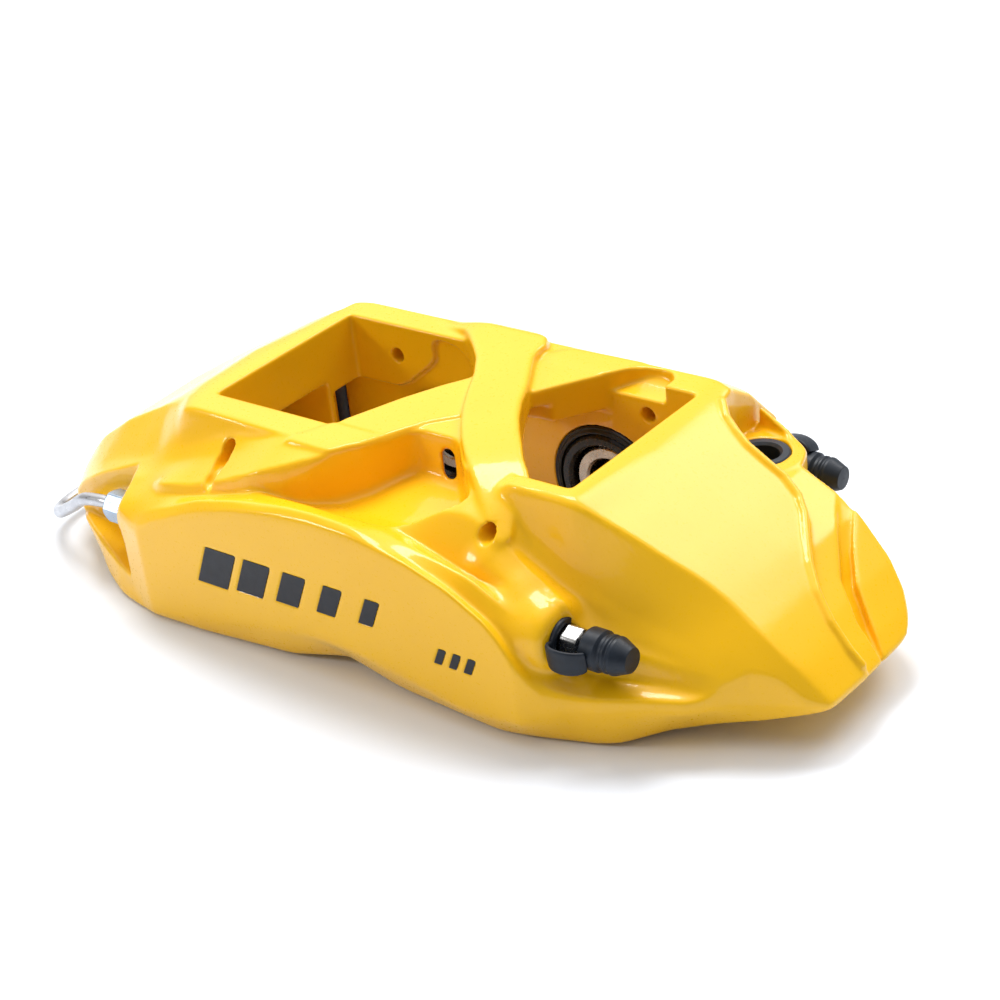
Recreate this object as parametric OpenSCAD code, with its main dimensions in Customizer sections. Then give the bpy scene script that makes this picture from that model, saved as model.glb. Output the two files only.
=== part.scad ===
// Fixed four-piston brake caliper, one-piece housing, for a 355 x 32 mm vented disc.
// +X runs along the caliper, +Y points inboard to the hub side, +Z points away from the disc's centre.
// The origin is midway between the two mounting bolts, on the mounting face.

/* [Housing] */
// Length of the pad opening along the caliper
window_len = 153.6; // [140:0.2:160]
// Width of the pad opening across the disc
window_w = 72; // [68:0.5:76]
// Overall length of the housing
housing_len = 332; // [320:1:344]
// Distance from the disc's middle plane to the outboard face
outboard_reach = 77; // [74:0.5:82]
// Distance from the disc's middle plane to the inboard face
inboard_reach = 75; // [74:0.5:80]
// Depth of the housing below its crown
housing_depth = 74; // [72:0.5:80]

/* [Disc] */
// Diameter of the brake disc
disc_d = 355; // [345:1:360]
// Thickness of the brake disc
disc_t = 32; // [28:1:34]
// Depth of the disc's edge below the crown of the housing
disc_drop = 20; // [18:0.5:24]
// Gap left round the disc's edge
disc_gap = 15; // [12:0.5:16]

/* [Pistons] */
// Diameter of the two right-hand pistons
piston_d = 40; // [38:1:42]
// Diameter of the two left-hand pistons, smaller for even pad wear
left_piston_d = 35; // [34:1:38]
// Piston length
piston_len = 27.5; // [26:0.5:28]
// Distance from the middle of the caliper to each piston
piston_x = 36.5; // [36:0.5:42]
// Depth of the piston axes below the crown
piston_drop = 45; // [44:0.5:47]
// Radial running clearance of a piston and of a bleed screw
run_gap = 0.08; // [0.02:0.01:0.1]

/* [Mounting] */
// Distance between the two mounting bolts
bolt_spacing = 192; // [188:1:196]
// Clearance bore of a mounting bush
bolt_bore = 12.5; // [12.2:0.1:13]
// Outside diameter of a mounting bush
bush_d = 20; // [18:0.5:21]
// Distance from the disc's middle plane to the mounting bolts
bolt_offset = 44; // [43:0.5:46]
// Height of a mounting lug
lug_h = 34; // [30:1:36]

/* [Hydraulics] */
// Distance from the disc's middle plane to the fluid galleries
gallery_y = 61; // [60:0.5:62]
// Depth of the fluid galleries below the crown
gallery_drop = 41; // [40:0.5:42]
// Outside diameter of the crossover pipe
pipe_d = 4.75; // [4.75, 6]
// Diameter of a bleed screw's thread
bleed_d = 10; // [8:1:10]
// Diameter of a pad pin hole
pin_hole_d = 5.5; // [5:0.5:6]

/* [Hidden] */
$fn = 64;

OUTBOARD = -1;
INBOARD = 1;
LEFT = -1;
RIGHT = 1;

half_len = housing_len / 2;
half_win = window_len / 2;
wall_y = window_w / 2;
lug_top = 22;
lug_bottom = lug_top + lug_h;
disc_centre_drop = disc_drop + disc_d / 2;
slot_r = disc_d / 2 + disc_gap;
slot_half = disc_t / 2 + 2.5;

bore_depth = 28.5;
boot_depth = 4.5;
ring_w = 3;
seal_start = 7.5;
seal_w = 3.5;
piston_proud = 1;

boss_face_x = 87;
pipe_face_x = 104.5;
bleed_y_inboard = 67;
bleed_drop = 38.5;
pipe_drop = 42.5;
gallery_r = 2.2;
nut_af = 11;
pipe_r = pipe_d / 2;

function piston_r(end) = (end == LEFT ? left_piston_d : piston_d) / 2;
function bore_r(end) = piston_r(end) + run_gap;
function ring_r(end) = piston_r(end) + ring_w;
function bleed_y(side) = side == OUTBOARD ? -gallery_y : bleed_y_inboard;

paint = "gold";
rubber = [0.13, 0.14, 0.17];
steel = [0.78, 0.78, 0.8];

// The housing is drawn about the middle of the pad opening at crown level, and this places it.
module placed() translate([0, -bolt_offset, lug_bottom]) children();

// A solid along Y drawn from an outline of [x, z] points, from y0 to y1.
module across(y0, y1) translate([0, y1, 0]) rotate([90, 0, 0]) linear_extrude(y1 - y0) children();

// A solid along X drawn from an outline of [y, z] points, from x0 to x1.
module along(x0, x1)
    translate([x0, 0, 0]) rotate([90, 0, 90]) linear_extrude(x1 - x0) children();

// A round bar along X.
module bar_x(x0, x1, r) translate([x0, 0, 0]) rotate([0, 90, 0]) cylinder(h = x1 - x0, r = r);

// A round bar along Y.
module bar_y(y0, y1, r) translate([0, y0, 0]) rotate([-90, 0, 0]) cylinder(h = y1 - y0, r = r);

// Children set on a piston's axis, with +Z running from the wall of the pad opening into the bore.
module at_piston(side, end)
    translate([end * piston_x, side * wall_y, -piston_drop]) rotate([-side * 90, 0, 0]) children();

// Children set on a bleed screw's axis, with +Z pointing out of its boss along +X.
module at_bleed(side)
    translate([boss_face_x, bleed_y(side), -bleed_drop]) rotate([0, 90, 0]) children();

// Children set on a pipe port's axis, with +Z pointing out of its boss along -X.
module at_pipe_port(side)
    translate([-pipe_face_x, side * gallery_y, -pipe_drop]) rotate([0, -90, 0]) children();

module at_bolt(end) translate([end * bolt_spacing / 2, bolt_offset, -lug_bottom]) children();

// ---- Housing ----

// Outline of the housing seen from above: the bridges and both cheeks.
module plan_outline() polygon([
    [-half_len, -28], [-160, -41], [-146, -51], [-122, -65], [-104.5, -72], [-94, -outboard_reach],
    [80, -outboard_reach], [94, -69], [119, -57], [142, -38], [159, -27], [half_len, -13],
    [half_len, 20], [156, 31], [132, 38], [112, 41], [84, 60],
    [84, inboard_reach], [-84, inboard_reach], [-84, 60],
    [-112, 41], [-132, 38], [-156, 31], [-half_len, 20]]);

// Outline seen from the outboard side: flat crown, curved shoulders, wavy underside.
module side_outline() polygon([
    [-half_len, -59], [-162, -47], [-154, -38], [-140, -29], [-118, -17], [-98, -6], [-half_win, 0],
    [half_win, 0], [98, -8], [118, -18], [144, -34], [158, -47], [half_len, -58],
    [half_len, -61], [142, -65], [120, -71], [98, -housing_depth], [64, -housing_depth],
    [22, -73], [0, -70], [-22, -73], [-64, -housing_depth], [-112, -housing_depth],
    [-146, -68], [-half_len, -63]]);

// Outline seen from the end: the cheeks slope down from the crown.
module end_outline() polygon([
    [-outboard_reach, -16], [-54, -7], [-42, 0], [48, 0], [60, -8], [inboard_reach, -26],
    [inboard_reach, -66], [68, -housing_depth], [-70, -housing_depth], [-outboard_reach, -66]]);

// What is left above the outboard face's arched top edge.
module arch_clearance() across(-outboard_reach - 1, -56) polygon([
    [-half_len, 1], [-half_len, -60], [-128, -44], [-98, -36], [-77, -34], [-60, -26], [-39, -17],
    [-6, -10], [16, -11], [36, -15], [55, -23], [70, -30], [80, -32], [80, -53],
    [119, -56], [half_len, -60], [half_len, 1]]);

// Room round a bleed cap, so that the cap and its strap clear the housing.
module cap_clearance() translate([80, -80, -53]) cube([69, 34, 60]);

// Outline seen from above of the low step that carries a mounting lug.
module lug_step_outline() polygon([
    [84.5, 80], [84.5, 40], [90, 33], [98, 30], [112, 26], [135, 8], [160, -5], [170, -6], [170, 80]]);

// Everything above the low step at one end.
module lug_clearance(end) mirror([end == LEFT ? 1 : 0, 0, 0]) intersection() {
    translate([0, 0, -90]) linear_extrude(100) lug_step_outline();
    across(-10, 81) polygon([[80, 11], [80, -lug_top], [112, -lug_top], [134, -31], [150, -43.5],
                             [160, -53], [167, -62], [171, -62], [171, 11]]);
}

module lug(end) at_bolt(end) cylinder(h = lug_h, r = 14.5);

module bleed_boss(side)
    translate([0, bleed_y(side), -bleed_drop]) bar_x(60, boss_face_x, 8.5);

module pipe_boss(side)
    translate([0, side * gallery_y, -pipe_drop]) bar_x(-pipe_face_x, -80, 9);

// The straight bar of the crossed bridge, from near left to far right.
module straight_bar() translate([0, 0, -14]) linear_extrude(14)
    polygon([[-25, -42], [-3, -42], [1, -18], [6, -4], [25, 13], [38, 35], [43, 45], [13, 45]]);

// The raised band of the crossed bridge, from far left to near right.
module raised_band() {
    translate([0, 0, -13]) linear_extrude(16.5)
        polygon([[-32, 46], [-12, 30], [1, 12], [14, -11], [24, -25], [36, -40],
                 [62, -40], [54, -30], [45, -21], [36, -10], [25, 12], [14, 30], [6, 46]]);
    hull() {
        translate([36, -40, -13]) cube([26, 1, 14.5]);
        translate([46, -56, -22]) cube([22, 1, 8]);
    }
}

// Slot for the disc: its edge arc, open below.
module disc_slot() intersection() {
    translate([0, 0, -disc_centre_drop]) bar_y(-slot_half, slot_half, slot_r);
    translate([-half_len, -window_w, -2 * housing_depth]) cube([housing_len, 2 * window_w, 2 * housing_depth - 12]);
}

module piston_bore(side, end) at_piston(side, end) {
    translate([0, 0, -1]) cylinder(h = bore_depth + 1, r = bore_r(end));
    translate([0, 0, -1]) cylinder(h = boot_depth + 1, r = ring_r(end));
    translate([0, 0, seal_start]) cylinder(h = seal_w, r = ring_r(end));
}

module pin_holes() for (end = [LEFT, RIGHT])
    translate([end * 56, 0, -13]) bar_y(-90, 58, pin_hole_d / 2);

// A bleed screw's threaded port, its seat and its way to the gallery.
module bleed_port(side) {
    at_bleed(side) {
        translate([0, 0, -12.3]) cylinder(h = 14, r = bleed_d / 2);
        translate([0, 0, -20]) cylinder(h = 8, r = gallery_r);
    }
    rise = gallery_drop - bleed_drop;
    across_gap = bleed_y(side) - side * gallery_y;
    translate([boss_face_x - 18, side * gallery_y, -gallery_drop])
        rotate([-atan2(across_gap, rise), 0, 0]) cylinder(h = norm([across_gap, rise]), r = gallery_r);
}

module gallery(side) translate([0, side * gallery_y, -gallery_drop])
    bar_x(-pipe_face_x + 13, boss_face_x - 16, gallery_r);

module pipe_port(side) at_pipe_port(side) {
    translate([0, 0, -12]) cylinder(h = 13, r = 5);
    translate([0, 0, -16]) cylinder(h = 6, r = gallery_r);
}

// Threaded inlet for the brake hose, on the inboard face between the pistons.
module hose_inlet() translate([0, 0, -gallery_drop]) {
    bar_y(inboard_reach - 12, inboard_reach + 1, 4.5);
    bar_y(gallery_y, inboard_reach - 11, gallery_r);
    bar_y(inboard_reach - 1.2, inboard_reach + 1, 9);
}

// Notch that leaves the pipe and its nut free at the near left corner.
module pipe_notch() {
    translate([-200, -90, -60]) cube([200 - pipe_face_x, 39, 70]);
    translate([-200, -90, -75]) cube([62, 44, 90]);
}

// Room for the inboard nut, cut from the lug beside it too.
module nut_room() translate([-200, 53.6, -75]) cube([200 - pipe_face_x, 30, 90]);

// The thin web that joins the straight bar and the raised band on the outboard side.
module bridge_web() translate([0, 0, -14]) linear_extrude(14)
    polygon([[-3, -42], [1, -18], [6, -4], [14, -11], [24, -25], [36, -42]]);

// The scooped pocket over that web, deepest on the outboard cheek.
module near_pocket() intersection() {
    translate([0, 0, -30]) linear_extrude(40)
        polygon([[-18, -64], [-4, -44], [3, -18], [10, -12], [24, -28], [35, -42], [42, -57], [34, -66]]);
    along(-40, 60) polygon([[-70, 9], [-70, -14], [-62, -19], [-50, -18], [-36, -10], [-12, -1], [-10, 9]]);
}

// A slot from the pocket down through the web, for looking at the pads.
module web_slot() translate([20, -28, -8]) rotate([-60, 0, 0]) translate([0, 0, -20]) linear_extrude(40) {
    for (y = [-2.5, 2.5]) translate([0, y]) circle(r = 3);
    square([6, 5], center = true);
}

// The scalloped recess in the inboard wall under the far end of the raised band.
module band_recess() translate([0, 0, -30]) linear_extrude(40)
    polygon([[-36, 35], [-33, 38], [-30, 39.8], [-26, 40], [-22, 38], [-16, 32], [-20, 30], [-36, 30]]);

module caliper_body() color(paint) placed() difference() {
    union() {
        difference() {
            intersection() {
                translate([0, 0, -90]) linear_extrude(100) plan_outline();
                across(-90, 90) side_outline();
                along(-half_len, half_len) end_outline();
            }
            arch_clearance();
            cap_clearance();
            for (end = [LEFT, RIGHT]) lug_clearance(end);
            pipe_notch();
            translate([-half_win, -wall_y, -90]) cube([window_len, window_w, 100]);
        }
        intersection() {
            union() {
                straight_bar();
                raised_band();
                bridge_web();
            }
            translate([-90, -57, -60]) cube([180, 102, 70]);
        }
        for (end = [LEFT, RIGHT]) lug(end);
        for (side = [OUTBOARD, INBOARD]) {
            bleed_boss(side);
            pipe_boss(side);
        }
    }
    nut_room();
    disc_slot();
    near_pocket();
    web_slot();
    band_recess();
    for (side = [OUTBOARD, INBOARD]) {
        for (end = [LEFT, RIGHT]) piston_bore(side, end);
        bleed_port(side);
        pipe_port(side);
        gallery(side);
    }
    pin_holes();
    hose_inlet();
    for (end = [LEFT, RIGHT]) at_bolt(end) translate([0, 0, -1]) cylinder(h = 90, r = bush_d / 2);
    stripe_set(-outboard_reach - 1, -outboard_reach + 0.8);
}

// ---- Pistons, seals and boots ----

// A cup piston, open towards the pad, with a relieved rim.
module piston(side, end) color([0.1, 0.1, 0.11]) placed() at_piston(side, end)
    translate([0, 0, -piston_proud]) rotate_extrude() let (r = piston_r(end), cup = r - 4.8) polygon([
        [0, 20], [cup, 20], [cup, 1.2], [cup + 0.8, 0], [r - 1.4, 0], [r, 1.4],
        [r, piston_len - 1.2], [r - 1.2, piston_len], [0, piston_len]]);

// A steel heat shield pressed against the floor of the piston.
module heat_insert(side, end) color(steel) placed() at_piston(side, end)
    translate([0, 0, -piston_proud]) rotate_extrude() let (r = piston_r(end) - 5.8) polygon([
        [r - 5, 2.2], [r - 0.6, 2.2], [r, 2.8], [r, 5], [r - 2.8, 5], [r - 2.8, 20], [r - 5, 20]]);

// A square-cut pressure seal in its groove.
module piston_seal(side, end) color(rubber) placed() at_piston(side, end)
    translate([0, 0, seal_start]) difference() {
        cylinder(h = seal_w, r = ring_r(end));
        translate([0, 0, -1]) cylinder(h = seal_w + 2, r = bore_r(end));
    }

// A wiper boot set into the mouth of the bore, with a rolled lip.
module dust_boot(side, end) color(rubber) placed() at_piston(side, end) rotate_extrude()
    let (inner = bore_r(end), outer = ring_r(end)) polygon([
        [inner, -0.6], [inner + 0.8, -0.9], [outer - 1, 0], [outer - 0.4, -0.2], [outer, 0.4],
        [outer, boot_depth], [inner + 1, boot_depth], [inner + 1, 1], [inner, 0.6]]);

// ---- Crossover pipe ----

pipe_half_route = [[-99.5, -61, -42.5], [-108, -61, -42.5], [-116.5, -61, -42.5], [-122, -61, -42.7],
    [-132, -60.3, -45], [-143, -57.5, -52], [-152, -55, -57.5], [-160, -51.5, -62], [-167, -45, -65],
    [-170.5, -35, -66], [-171, -22, -66], [-171, -8, -66]];
pipe_n = len(pipe_half_route);
pipe_route = [for (i = [0 : 2 * pipe_n - 1])
    i < pipe_n ? pipe_half_route[i]
               : [for (k = [0 : 2]) pipe_half_route[2 * pipe_n - 1 - i][k] * (k == 1 ? -1 : 1)]];

// A point on the smooth curve through the route's points.
function route_point(t) = let (
    i = min(floor(t), len(pipe_route) - 2), u = t - i,
    p0 = pipe_route[max(i - 1, 0)], p1 = pipe_route[i],
    p2 = pipe_route[i + 1], p3 = pipe_route[min(i + 2, len(pipe_route) - 1)])
    0.5 * (2 * p1 + (p2 - p0) * u + (2 * p0 - 5 * p1 + 4 * p2 - p3) * u * u
           + (3 * p1 - p0 - 3 * p2 + p3) * u * u * u);

function unit(v) = v / norm(v);

// A round tube swept along the route, with its rings square to it.
module swept_tube(r, sides, rings) {
    span = len(pipe_route) - 1;
    centres = [for (i = [0 : rings - 1]) route_point(span * i / (rings - 1))];
    points = [for (i = [0 : rings - 1]) let (
        ahead = unit(centres[min(i + 1, rings - 1)] - centres[max(i - 1, 0)]),
        side = unit(cross([0, 0, 1], ahead)), up = cross(ahead, side))
        for (k = [0 : sides - 1]) centres[i] + r * (cos(360 * k / sides) * side + sin(360 * k / sides) * up)];
    walls = [for (i = [0 : rings - 2], k = [0 : sides - 1]) let (n = (k + 1) % sides)
        [i * sides + k, (i + 1) * sides + k, (i + 1) * sides + n, i * sides + n]];
    first = [for (k = [0 : sides - 1]) k];
    last = [for (k = [sides - 1 : -1 : 0]) (rings - 1) * sides + k];
    polyhedron(points, concat(walls, [first, last]), convexity = 6);
}

module crossover_pipe() color(steel) placed() swept_tube(pipe_r, 12, 64);

// A hexagonal union nut, bored for the pipe, with its threaded shank in the port.
module pipe_nut(side) color([0.66, 0.72, 0.8]) placed() at_pipe_port(side) difference() {
    union() {
        translate([0, 0, 0.4]) intersection() {
            rotate([0, 0, 30]) cylinder(h = 10, r = nut_af / sqrt(3), $fn = 6);
            translate([0, 0, -1]) rotate_extrude() polygon([[0, 0], [6.4, 0], [6.4, 10], [5.2, 11], [0, 11]]);
        }
        translate([0, 0, -10]) cylinder(h = 10.5, r = 5);
    }
    translate([0, 0, -11]) cylinder(h = 30, r = pipe_r + 0.05);
}

// ---- Bleed screws ----

// A hollow bleed screw: cone seat, thread, hexagon and barbed nipple.
module bleed_screw(side) color(steel) placed() at_bleed(side) difference() {
    union() {
        rotate_extrude() polygon([
            [0, -12], [1.6, -12], [bleed_d / 2 - run_gap, -9], [bleed_d / 2 - run_gap, 0.8], [4.4, 1.4],
            [4.4, 4], [3.6, 9], [3, 10], [3, 15], [3.8, 16], [2.4, 20.5], [0, 20.5]]);
        translate([0, 0, 2.5]) cylinder(h = 6.5, r = 10 / sqrt(3), $fn = 6);
    }
    translate([0, 0, 5]) cylinder(h = 30, r = 1);
    translate([0, 0, -5]) cylinder(h = 20, r = 1);
    translate([0, 0, -5]) rotate([90, 0, 0]) cylinder(h = 30, r = 1, center = true);
}

// A rubber cap over the nipple.
module bleed_cap(side) color(rubber) placed() at_bleed(side) rotate_extrude() polygon([
    [0, 27], [3.8, 27], [4.4, 26.4], [6.5, 21.4], [6.5, 20.4], [5.7, 19.6], [5.7, 17.4],
    [6.8, 16.6], [6.8, 11.4], [6.2, 10.6], [4.2, 10.6], [4.2, 16.6], [2.8, 21.2], [0, 21.2]]);

// The cap's tether: a ring round the screw's neck and a strap that loops out to the cap.
module cap_tether(side) color(rubber) placed() at_bleed(side) {
    strap_turn = side == OUTBOARD ? -70 : 155;
    difference() {
        translate([0, 0, 0.5]) cylinder(h = 1.6, r = 7.2);
        cylinder(h = 3, r = 5.3);
    }
    rotate([0, 0, strap_turn]) intersection() {
        translate([6, 0, 5.6]) rotate([90, 0, 0]) difference() {
            cylinder(h = 8, r = 6.2, center = true);
            cylinder(h = 9, r = 4.6, center = true);
        }
        translate([6.1, -5, 0.5]) cube([9, 10, 9.8]);
    }
}

// ---- Trim ----

// A plain mounting bush with a bored centre, a little proud of its lug.
module mount_bush(end) color(rubber) placed() at_bolt(end) difference() {
    cylinder(h = lug_h + 0.8, r = bush_d / 2);
    translate([0, 0, -1]) cylinder(h = lug_h + 4, r = bolt_bore / 2);
}

// One slanted bar of the plain decoration on the outboard face, from its lower left corner.
module slanted_bar(x, z, w, h, y0, y1) across(y0, y1)
    translate([x, z]) polygon([[0, 0], [w, 0], [w + 0.45 * h, h], [0.45 * h, h]]);

// The decoration: five bars that narrow to the right, and three small ones.
module stripe_set(y0, y1) {
    for (i = [0 : 4]) slanted_bar(-58 + 18.5 * i, -50 + 1.2 * i, 14 - 2 * i, 15 - 1.2 * i, y0, y1);
    for (i = [0 : 2]) slanted_bar(47 + 6 * i, -51, 3, 6, y0, y1);
}

module face_stripes() color([0.2, 0.2, 0.22]) placed()
    stripe_set(-outboard_reach + 0.2, -outboard_reach + 0.8);

caliper_body();
piston(OUTBOARD, LEFT);  // piston_outboard_left
piston(OUTBOARD, RIGHT);  // piston_outboard_right
piston(INBOARD, LEFT);  // piston_inboard_left
piston(INBOARD, RIGHT);  // piston_inboard_right
heat_insert(OUTBOARD, LEFT);  // heat_insert_outboard_left
heat_insert(OUTBOARD, RIGHT);  // heat_insert_outboard_right
heat_insert(INBOARD, LEFT);  // heat_insert_inboard_left
heat_insert(INBOARD, RIGHT);  // heat_insert_inboard_right
piston_seal(OUTBOARD, LEFT);  // piston_seal_outboard_left
piston_seal(OUTBOARD, RIGHT);  // piston_seal_outboard_right
piston_seal(INBOARD, LEFT);  // piston_seal_inboard_left
piston_seal(INBOARD, RIGHT);  // piston_seal_inboard_right
dust_boot(OUTBOARD, LEFT);  // dust_boot_outboard_left
dust_boot(OUTBOARD, RIGHT);  // dust_boot_outboard_right
dust_boot(INBOARD, LEFT);  // dust_boot_inboard_left
dust_boot(INBOARD, RIGHT);  // dust_boot_inboard_right
crossover_pipe();
pipe_nut(OUTBOARD);  // pipe_nut_outboard
pipe_nut(INBOARD);  // pipe_nut_inboard
bleed_screw(OUTBOARD);  // bleed_screw_outboard
bleed_screw(INBOARD);  // bleed_screw_inboard
bleed_cap(OUTBOARD);  // bleed_cap_outboard
bleed_cap(INBOARD);  // bleed_cap_inboard
cap_tether(OUTBOARD);  // cap_tether_outboard
cap_tether(INBOARD);  // cap_tether_inboard
mount_bush(LEFT);  // mount_bush_left
mount_bush(RIGHT);  // mount_bush_right
face_stripes();
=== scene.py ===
"""A four-piston brake caliper: a sculpted, enamelled housing with its pistons, pipe and bleed screws."""

import functools
import math

import bpy
import numpy as np
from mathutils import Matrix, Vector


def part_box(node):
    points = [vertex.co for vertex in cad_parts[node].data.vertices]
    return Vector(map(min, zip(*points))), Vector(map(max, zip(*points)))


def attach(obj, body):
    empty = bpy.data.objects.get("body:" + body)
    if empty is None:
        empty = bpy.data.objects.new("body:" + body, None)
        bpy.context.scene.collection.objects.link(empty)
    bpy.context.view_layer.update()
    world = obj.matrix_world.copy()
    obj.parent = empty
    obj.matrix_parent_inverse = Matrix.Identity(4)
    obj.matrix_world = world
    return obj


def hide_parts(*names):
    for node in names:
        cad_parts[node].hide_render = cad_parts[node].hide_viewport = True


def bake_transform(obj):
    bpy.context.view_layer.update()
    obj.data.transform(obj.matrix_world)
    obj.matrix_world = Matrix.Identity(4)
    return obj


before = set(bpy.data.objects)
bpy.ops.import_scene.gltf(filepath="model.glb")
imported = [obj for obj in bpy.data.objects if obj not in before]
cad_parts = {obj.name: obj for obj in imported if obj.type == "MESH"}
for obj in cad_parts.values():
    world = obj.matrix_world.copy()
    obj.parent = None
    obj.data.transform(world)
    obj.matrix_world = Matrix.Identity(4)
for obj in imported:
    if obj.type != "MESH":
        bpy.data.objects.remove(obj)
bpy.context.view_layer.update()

import openvdb as vdb
from mathutils import Matrix, Vector

MM = 0.001
OUTBOARD, INBOARD = -1, 1
LEFT, RIGHT = -1, 1
SIDES = {OUTBOARD: "outboard", INBOARD: "inboard"}
ENDS = {LEFT: "left", RIGHT: "right"}

# ---- Where things are, in millimetres ----
# The working frame is the middle of the pad opening at crown level; CROWN is its place in the row frame.
# CROWN and the pistons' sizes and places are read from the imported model. The rest follows the CAD's
# numbers, apart from the outboard bleed screw's boss, which is wider here.


def box_mm(node):
    """Lowest and highest corners of a CAD node in millimetres."""
    low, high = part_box(node)
    return np.array(low) / MM, np.array(high) / MM


body_low, body_high = box_mm("caliper_body")
outer_low, outer_high = box_mm("piston_outboard_left")
inner_low, inner_high = box_mm("piston_inboard_right")
BAND_RISE = 3.5
CROWN = np.array([
    (outer_low[0] + outer_high[0] + inner_low[0] + inner_high[0]) / 4,
    (outer_low[1] + inner_high[1]) / 2,
    body_high[2] - BAND_RISE])
PISTON_R = {LEFT: (outer_high[0] - outer_low[0]) / 2, RIGHT: (inner_high[0] - inner_low[0]) / 2}
PISTON_X = CROWN[0] - (outer_low[0] + outer_high[0]) / 2
PISTON_Z = (outer_low[2] + outer_high[2]) / 2 - CROWN[2]
RUN_GAP = 0.08
RING_W = 3
WALL_Y = 36
WINDOW_X = 76.8
FACE_Y = 77
INBOARD_Y = 75
BOSS_X = 87
PORT_X = -104.5
PIPE_Y, PIPE_Z = 61, -42.5
PORT_R = 5.05
INLET, INLET_R = (0, -41), 4.5
BLEED_Z = -38.5
BLEED_Y = {OUTBOARD: -61, INBOARD: 67}
BLEED_BOSS_R = {OUTBOARD: 10.6, INBOARD: 8.5}
PIPE_BOSS_R = 9
BOLT_X, BOLT_Y = 96, 44
LUG_TOP, LUG_BOTTOM = -22, -56
LUG_R, BUSH_R, BUSH_BORE_R = 14.5, 10, 6.25
PIN_X, PIN_Z, PIN_R = 56, -13, 2.75
DISC_CENTRE_Z, SLOT_R, SLOT_HALF = -197.5, 192.5, 18.5


def to_row(points):
    """Working-frame millimetres to row-frame metres."""
    return (np.asarray(points, float) + CROWN) * MM


# ---- Distance fields ----

VOXEL = 0.9
xs = np.arange(-171, 171 + VOXEL, VOXEL, dtype=np.float32)
ys = np.arange(-81, 80 + VOXEL, VOXEL, dtype=np.float32)
zs = np.arange(-79, 8 + VOXEL, VOXEL, dtype=np.float32)
X, Y, Z = xs[:, None, None], ys[None, :, None], zs[None, None, :]
XY = (xs[:, None], ys[None, :])
XZ = (xs[:, None], zs[None, :])
YZ = (ys[:, None], zs[None, :])


def smooth_min(a, b, k):
    """Union of two fields with a fillet of about k."""
    return np.minimum(a, b) - np.maximum(k - np.abs(a - b), 0) ** 2 / (4 * k)


def smooth_max(a, b, k):
    """Intersection of two fields with a rounded edge of about k."""
    return np.maximum(a, b) + np.maximum(k - np.abs(a - b), 0) ** 2 / (4 * k)


def union(fields):
    """The union of several fields, with sharp joins."""
    return functools.reduce(np.minimum, fields)


def join(field, shape, k):
    """field with shape added."""
    return smooth_min(field, shape, k)


def cut(field, shape, k):
    """field with shape taken away."""
    return smooth_max(field, -shape, k)


def blurred(field, size):
    """field, softened along each of its axes by about size millimetres."""
    sigma = size / VOXEL
    reach = max(1, int(math.ceil(2.5 * sigma)))
    weights = np.exp(-0.5 * (np.arange(-reach, reach + 1) / sigma) ** 2)
    weights = (weights / weights.sum()).astype(np.float32)
    for axis in range(field.ndim):
        if field.shape[axis] == 1:
            continue
        pads = [(reach, reach) if a == axis else (0, 0) for a in range(field.ndim)]
        padded = np.pad(field, pads, mode="edge")
        length = field.shape[axis]
        total = np.zeros_like(field)
        for i, weight in enumerate(weights):
            part = [slice(None)] * field.ndim
            part[axis] = slice(i, i + length)
            total += weight * padded[tuple(part)]
        field = total
    return field


def polygon(grid, points, soft=0.0):
    """Signed distance to a closed outline on a 2-D grid, negative inside."""
    u, v = grid
    nearest = np.full(np.broadcast_shapes(u.shape, v.shape), 1e9, np.float32)
    inside = np.zeros(nearest.shape, bool)
    for (u0, v0), (u1, v1) in zip(points, points[1:] + points[:1]):
        du, dv = u1 - u0, v1 - v0
        t = np.clip(((u - u0) * du + (v - v0) * dv) / (du * du + dv * dv), 0, 1)
        nearest = np.minimum(nearest, (u - u0 - t * du) ** 2 + (v - v0 - t * dv) ** 2)
        if v0 != v1:
            crosses = (v0 > v) != (v1 > v)
            inside ^= crosses & (u < u0 + du * (v - v0) / dv)
    field = (np.where(inside, -1, 1) * np.sqrt(nearest)).astype(np.float32)
    return blurred(field, soft) if soft else field


def rectangle(u0, u1, v0, v1):
    """Corners of a rectangle, as an outline."""
    return [(u0, v0), (u1, v0), (u1, v1), (u0, v1)]


def plan(points, soft=0.0):
    """An outline seen from above, as a field over the whole height."""
    return polygon(XY, points, soft)[:, :, None]


def side(points, soft=0.0):
    """An outline of (x, z) points seen from outboard, as a field over the whole width."""
    return polygon(XZ, points, soft)[:, None, :]


def end(points, soft=0.0):
    """An outline of (y, z) points seen along the caliper, as a field over the whole length."""
    return polygon(YZ, points, soft)[None, :, :]


def box_field(x0, x1, y0, y1, z0, z1):
    """A rectangular block."""
    dx = np.maximum(x0 - X, X - x1)
    dy = np.maximum(y0 - Y, Y - y1)
    dz = np.maximum(z0 - Z, Z - z1)
    return np.maximum(np.maximum(dx, dy), dz)


def bar(axis, place, r, low, high, k=1.0):
    """A round bar along an axis of the frame, with its place on the other two."""
    along = (X, Y, Z)[axis]
    u, v = [grid for i, grid in enumerate((X, Y, Z)) if i != axis]
    radial = np.sqrt((u - place[0]) ** 2 + (v - place[1]) ** 2) - r
    return smooth_max(radial, np.maximum(low - along, along - high), k)


def to_segment(p, q):
    """Distance to the straight line from p to q, and the share of it gone at the nearest place."""
    d = np.subtract(q, p, dtype=np.float32)
    t = ((X - p[0]) * d[0] + (Y - p[1]) * d[1] + (Z - p[2]) * d[2]) / float(d @ d)
    t = np.clip(t, 0, 1)
    gap = np.sqrt((X - p[0] - t * d[0]) ** 2 + (Y - p[1] - t * d[1]) ** 2 + (Z - p[2] - t * d[2]) ** 2)
    return gap, t


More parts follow.
